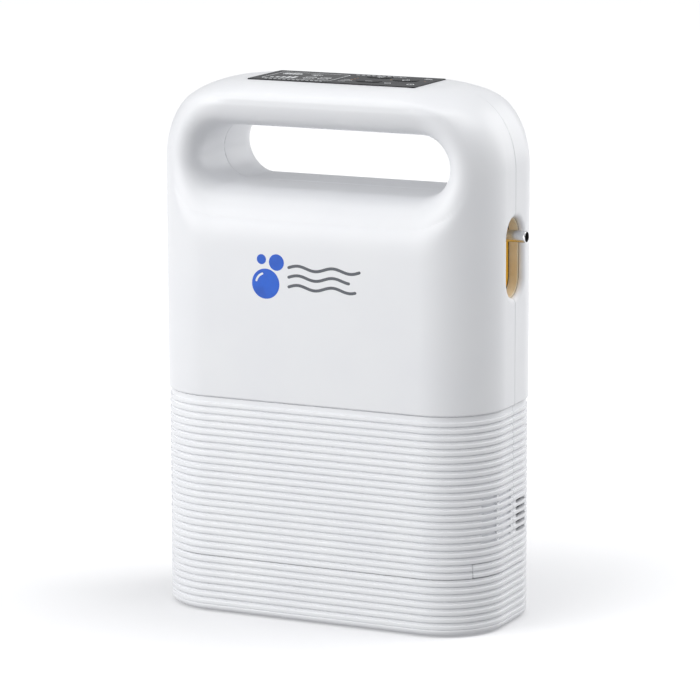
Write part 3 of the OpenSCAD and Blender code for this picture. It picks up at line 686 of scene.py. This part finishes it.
def buildSkirt():
    outer, inner = skirtWall(skirt["wall"], len(rows), True)
    lower = np.broadcast_to(cellZ > bayBottom, (len(rows) - 1, len(outline))).copy()
    lower &= ~((np.abs(cellY) < 0.05) & onSide)[None]
    lower &= ~((cellZ < latch["openTop"]) & ((np.abs(cellY) < latch["halfLength"] + latch["room"]) & onSide)[None])
    for k in vents["slotRows"]:
        z = grooveHeight(k)
        slot = (cellZ < z + vents["slotAbove"]) & (cellZ > z - vents["slotHeight"])
        lower &= ~(slot & ((cellY > vents["slotFrom"]) & (cellY < vents["slotTo"]) & onSide)[None])
    for x, z in screws["lower"]:
        lower &= ~((np.abs(cellZ - z) < 4.2) & ((np.abs(np.abs(cellX) - x) < 4.2) & (cellY > 30))[None])
    for name, node, half in (("front_skirt", "lower_front_shell", cellY < 0), ("rear_skirt", "lower_rear_shell", cellY > 0)):
        points, faces = wallFromCells(outer, inner, lower & half[None])
        addPiece(name, points, faces, ["ribbedAbsWhite"], "housing", (node,))
    outer, inner = skirtWall(skirt["wall"], len(rows), False)
    tab = (cellZ > latch["bottom"]) & (cellZ < latch["top"]) & ((np.abs(cellY) < latch["halfLength"]) & onSide)[None]
    for node, half in (("latch_left", cellX < 0), ("latch_right", cellX > 0)):
        points, faces = wallFromCells(outer, inner, tab & half[None])
        addPiece(node + "_tab", points, faces, ["ribbedAbsWhite"], node, (node,))
    floorTop = skirt["base"] + 2.0
    inner[:, :, 2] = caseTop - (caseTop - inner[:, :, 2]) * (caseTop - floorTop) / (caseTop - skirt["base"])
    points, faces = wallFromCells(outer, inner, np.broadcast_to(cellZ < caseTop, (len(rows) - 1, len(outline))), cap=True)
    addPiece("battery_skirt", points, faces, ["ribbedAbsWhite"], "battery", ("battery_case",))


buildSkirt()
print("ribbed skirt, battery case and latch tabs built")


# ---- screw wells in the rear shells, rubber feet ----

def alongY(a, b, level):
    return a, level, b


def alongX(a, b, level):
    return level, a, b


def upright(a, b, level):
    return a, b, level


def moved(points, x=0.0, y=0.0, z=0.0):
    return points + np.array([x, y, z])


def buildWells():
    tube = circleOutline(3.05, 40)
    parts = []
    for spots, end in ((screws["upper"], 34.6), (screws["lower"], 35.6)):
        for x, z in [(s * p[0], p[1]) for p in spots for s in (-1, 1)]:
            rings = [spread(tube, inset, level, alongY) for inset, level in
                     ((-0.35, 12), (-0.35, end), (-0.1, end), (0, end - 0.1), (0, 14.6), (0.5, 14.3), (0.5, 12))]
            points, faces = loft(rings[::-1], closed=True)
            parts.append((moved(points, x=x, z=z), faces))
    points, faces = joinParts(parts)
    addPiece("screw_wells", points, faces, ["ribbedAbsWhite"], "housing")
    parts = []
    square = roundedOutline(4.18, 4.18, 0.8, 6)[0]
    turn = np.arctan2(square[:, 1], square[:, 0])
    circle = np.stack([np.cos(turn), np.sin(turn)], 1)
    for x, z in [(s * p[0], p[1]) for p in screws["lower"] for s in (-1, 1)]:
        rings = [np.stack([a, np.full(len(a), y), b], 1) for (a, b), y in
                 ((square.T, 35.6), (square.T, 37.7), ((square * 0.97).T, 37.9), ((circle * 3.2).T, 37.9), ((circle * 3.0).T, 37.7),
                  ((circle * 3.0).T, 35.6))]
        points, faces = loft(rings, closed=True)
        parts.append((moved(points, x=x, z=z), [f[::-1] for f in faces]))
    points, faces = joinParts(parts)
    addPiece("screw_surrounds", points, faces, ["ribbedAbsWhite"], "housing")


def buildScreen():
    # foam behind the slots of the right side, near black: painted shade in the slots
    edge = roundedOutline(8, 9.5, 1.5, 4)
    points, faces = loft([spread(edge, inset, level, alongX) for inset, level in ((0.3, 74.4), (0, 74.6), (0, 75.7), (0.3, 75.9))])
    addPiece("slot_shade_screen", moved(points, y=9.5, z=47.5), faces, ["shadeBlackSlotFoam"], "housing")


def buildFeet():
    foot = circleOutline(5.45, 48)
    parts = []
    for x, y in ((0, 0), (56, 22), (56, -22), (-56, 22), (-56, -22)):
        rings = [spread(foot, inset, level, upright) for inset, level in
                 ((2.2, 0.35), (1.9, 0.06), (1.6, 0.0), (0.7, 0.0), (0.3, 0.1), (0.05, 0.4), (0, 0.95))]
        points, faces = loft(rings)
        parts.append((moved(points, x=x, y=y), faces))
    points, faces = joinParts(parts)
    addPiece("soft_feet", points, faces, ["rubberAndGapShade"], "battery", ("rubber_feet",))


buildWells()
buildScreen()
buildFeet()
print("screw wells and feet built")


# ---- outlet port ----

cup = {"halfWidth": 9.4, "halfHeight": 18.15, "height": 161.65, "back": 71.75, "front": 77.5, "floor": 73.4, "lining": 1.05,
       "gap": 0.8}
barb = {"height": 171.1, "radius": 2.6, "bore": 2.25, "tip": 85.2, "flange": 4.1}


def buildPort():
    edge = roundedOutline(cup["halfWidth"], cup["halfHeight"], cup["halfWidth"], 16)
    t, under = cup["lining"], cup["floor"] - 1.3
    profile = [(0.7, cup["back"]), (0.15, cup["back"] + 0.15), (0, cup["back"] + 0.6), (0, cup["front"] - 0.2), (0.15, cup["front"]),
               (t - 0.2, cup["front"]), (t, cup["front"] - 0.2), (t, cup["floor"] - 0.1), (t, under + 0.1), (t + 0.1, under)]
    points, faces = loft([spread(edge, inset, level, alongX) for inset, level in profile])
    wallRows = (len(profile) - 3) * len(edge[0])
    # the walls down to the floor plate take the tan painted shade
    slots = [0 if i < wallRows else 1 for i in range(len(faces))]
    addPiece("port_lining", moved(points, z=cup["height"]), faces, ["shadedLiningTan", "rubberAndGapShade"], "housing",
             ("port_cup",), faceSlots=slots)
    # the lining's lower part at the bottom of this gap is dark rubber: painted shade in the corner
    inset = t + cup["gap"]                                            # a dark gap runs round the floor plate
    profile = [(inset, under - 0.1), (inset, cup["floor"] - 0.12), (inset + 0.12, cup["floor"])]
    points, faces = loft([spread(edge, inset, level, alongX) for inset, level in profile])
    addPiece("port_floor", moved(points, z=cup["height"]), faces, ["goldenAbs"], "housing")
    r, bore, tip = barb["radius"], barb["bore"], barb["tip"]
    profile = [(72.2, barb["flange"]), (73.3, barb["flange"]), (73.5, barb["flange"] - 0.2), (73.55, r + 0.25), (73.8, r + 0.05),
               (74.1, r), (tip - 1.2, r), (tip - 0.9, r), (tip - 0.35, r), (tip - 0.1, r - 0.05), (tip, r - 0.12),
               (tip, bore + 0.05), (tip - 0.08, bore), (tip - 0.9, bore - 0.02), (70.5, bore - 0.05), (70.5, r), (72.2, r)]
    round_ = circleOutline(1.0, 64)
    rings = [spread(round_, 1 - radius, level, alongX) for level, radius in profile]
    points, faces = loft(rings, closed=True)
    # the faces inside the bore take the near-black painted shade
    slots = [1 if 12 <= i // 64 <= 14 else 0 for i in range(len(faces))]
    addPiece("outlet_tube", moved(points, z=barb["height"]), faces, ["polishedStainless", "boreShadeBlack"], "housing",
             ("outlet_barb",), faceSlots=slots)


buildPort()
print("outlet port built")


# ---- control panel and keys ----

panel = {"halfWidth": 40.0, "halfDepth": 16.9, "corner": 1.2, "bottom": 234.3, "top": 235.1, "ink": 0.03}
keyShape = {"halfLength": 5.7, "radius": 3.1, "bottom": 232.3, "top": 235.3, "room": 0.25}


def bar(x0, x1, y0, y1, r=0.15):
    points, _ = roundedOutline((x1 - x0) / 2, (y1 - y0) / 2, min(r, (x1 - x0) / 2.01, (y1 - y0) / 2.01), 3)
    return [points + [(x0 + x1) / 2, (y0 + y1) / 2]]


def dot(x, y, r, count=24):
    return [circleOutline(r, count)[0] + [x, y]]


def hoop(x, y, r, width, count=32):
    ring = circleOutline(1.0, count)[0]
    return [ring * r + [x, y], (ring * (r - width) + [x, y])[::-1]]


def frameOf(x0, x1, y0, y1, width, r=0.5):
    outside = bar(x0, x1, y0, y1, r)[0]
    inside = bar(x0 + width, x1 - width, y0 + width, y1 - width, max(r - width, 0.1))[0]
    return [outside, inside[::-1]]


def stroke(points, width):
    # outline of a line of even width with round ends
    points = np.asarray(points, float)
    along = np.gradient(points, axis=0)
    along /= np.linalg.norm(along, axis=1)[:, None]
    normal = np.stack([-along[:, 1], along[:, 0]], 1) * width / 2
    def cap(centre, direction):
        start = math.atan2(direction[1], direction[0]) - math.pi / 2
        return [centre + width / 2 * np.array([math.cos(start + math.pi * i / 8), math.sin(start + math.pi * i / 8)])
                for i in range(1, 8)]
    return [np.concatenate([points - normal, cap(points[-1], along[-1]), (points + normal)[::-1], cap(points[0], -along[0])])]


def arcLine(x, y, r, start, end, count=24):
    turn = np.radians(np.linspace(start, end, count))
    return np.stack([x + r * np.cos(turn), y + r * np.sin(turn)], 1)


def wave(x0, x1, y, height, turns, count=48):
    t = np.linspace(0, 1, count)
    return np.stack([x0 + (x1 - x0) * t, y + height * np.sin(2 * math.pi * turns * t)], 1)


def printMarks(name, shapes, low, high, ink, body_, place=upright):
    points, faces = joinParts([plate(loops, low, high) for loops in shapes])
    a, b, level = points.T
    points = np.stack(place(a, b, level), 1)
    addPiece(name, points, faces, [ink], body_)


def buildPanel():
    outside = roundedOutline(panel["halfWidth"], panel["halfDepth"], panel["corner"], 10)[0]
    holes = []
    for x, y in keys.values():
        r = keyShape["radius"] + keyShape["room"]
        holes.append((roundedOutline(keyShape["halfLength"] + keyShape["room"], r, r, 12)[0] + [x, y])[::-1])
    points, faces = plate([outside] + holes, panel["bottom"], panel["top"], 0.12)
    addPiece("panel_film", points, faces, ["glossPolycarbonateFilm"], "housing", ("panel_overlay",))
    low, high = panel["top"] - 0.02, panel["top"] + panel["ink"]
    window = [frameOf(-36, -3, -11.5, 11.5, 0.35, 1.5)]
    printMarks("display_window", [bar(-35.4, -3.6, -10.9, 10.9, 1.2)], low, panel["top"] + 0.015, "tintedDisplayLens",
               "housing")
    marks = window
    marks += [frameOf(-33, -25, 3.6, 8.2, 0.4, 0.6), bar(-25, -24.2, 4.9, 6.9)] + [bar(-32.2 + i * 1.7, -31 + i * 1.7, 4.4, 7.4) for i in range(4)]
    for i in range(5):                                            # flow level bars
        marks.append(bar(-33 + i * 2.4, -31.4 + i * 2.4, -8.4, -7.0 + i * 1.1))
    for r in (1.2, 2.3, 3.4):                                     # breath symbol
        marks.append(stroke(arcLine(-16.8, 3.4, r, 35, 145), 0.45))
    marks.append(dot(-16.8, 3.2, 0.6))
    for y in (-7.6, -4.6, -1.6):                    # two unlit number cells
        marks += [bar(-17.6, -13.6, y, y + 0.55), bar(-10.6, -6.6, y, y + 0.55)]
    for x in (-18, -13.7, -11, -6.7):
        marks += [bar(x, x + 0.5, -6.9, -4.8), bar(x, x + 0.5, -3.9, -1.8)]
    marks += [bar(-33 + i * 2.2, -31.7 + i * 2.2, -13.9, -13.2) for i in range(13)]     # tick row at the front edge
    marks += [bar(-1.5 + i * 2.5, 0.1 + i * 2.5, 13.0, 13.9) for i in range(9)]           # tick row at the rear edge
    marks += [stroke([(0.5, -9.5), (3.5, -9.5)], 0.4), stroke([(0.5, -6.5), (5.5, -6.5)], 0.4), stroke([(0.5, -3.5), (3.5, -3.5)], 0.4)]
    marks += [hoop(34.5, -9, 1.7, 0.4), stroke([(34.5, -9), (34.5, -8)], 0.4), stroke([(32.5, 10.5), (36, 10.5)], 0.5),
              stroke([(32.5, 12), (35, 12)], 0.4), hoop(23.5, -8.5, 1.5, 0.35)]
    marks += [stroke(wave(18, 22.5, 13, 0.4, 1.5, 24), 0.4)]
    printMarks("panel_marks", marks, low, high, "whiteInk", "housing")
    printMarks("panel_lamps", [dot(4, 3 - i * 3, 0.55) for i in range(3)] + [dot(36, 3, 0.5), dot(20, 3, 0.5)], low, high,
               "amberLens", "housing")


def buildKeys():
    symbols = {
        "power_key": [stroke(arcLine(0, 0, 1.5, 125, 415, 32), 0.4), stroke([(0, 0.5), (0, 2.0)], 0.4)],
        "flow_up_key": [stroke([(-1.5, 0), (1.5, 0)], 0.45), stroke([(0, 0.35), (0, 1.5)], 0.45), stroke([(0, -1.5), (0, -0.35)], 0.45)],
        "flow_down_key": [stroke([(-1.5, 0), (1.5, 0)], 0.45)],
    }
    for name, (x, y) in keys.items():
        outline_ = roundedOutline(keyShape["halfLength"], keyShape["radius"], keyShape["radius"], 12)
        top = keyShape["top"]
        rings = [spread(outline_, inset, level, upright) for inset, level in
                 ((0, keyShape["bottom"]), (0, top - 0.45), (0.08, top - 0.22), (0.3, top - 0.08), (0.7, top - 0.02), (1.1, top))]
        points, faces = loft(rings)
        addPiece(name + "_cap", moved(points, x=x, y=y), faces, ["embossedKeyFilm"], name, (name,))
        shapes = [[loop + [x, y] for loop in loops] for loops in symbols[name]]
        printMarks(name + "_symbol", shapes, top - 0.02, top + 0.03, "whiteInk", name)


buildPanel()
buildKeys()
print("control panel and keys built")


# ---- printed pictogram on the front: bubbles and a breeze ----

badge = {"high": 163.5, "front": -38.4}


def buildBadge():
    high = badge["high"]
    blue = [dot(-20.6, high - 14.2, 6.6, 48), dot(-15.4, high - 4.6, 3.6, 36), dot(-22.6, high - 3.6, 2.2, 28)]
    shine = [stroke(arcLine(-20.6, high - 14.2, 4.6, 110, 165, 16), 0.9)]
    grey = [stroke(wave(-9.5, 24, high - 6.4, 0.9, 2), 1.3), stroke(wave(-9.5, 19, high - 10.6, 0.9, 1.7), 1.3),
            stroke(wave(-9.5, 22, high - 14.8, 0.9, 1.9), 1.3)]
    y = badge["front"]

    def onFront(a, b, level):
        return a, y - level, b

    printMarks("front_bubbles", blue, -0.02, 0.04, "blueInk", "housing", onFront)
    printMarks("front_bubble_shine", shine, 0.03, 0.06, "whiteInk", "housing", onFront)
    printMarks("front_breeze", grey, -0.02, 0.04, "greyInk", "housing", onFront)


buildBadge()
print("front pictogram built")


# ---- finishes of the kept CAD pieces ----

for name, node in nodes.items():
    for holder in node.material_slots:
        slot = holder.material.name.split(".")[0]
        if slot in slotLooks:
            holder.material = finishes[slotLooks[slot]]
print("finishes given to the CAD pieces")
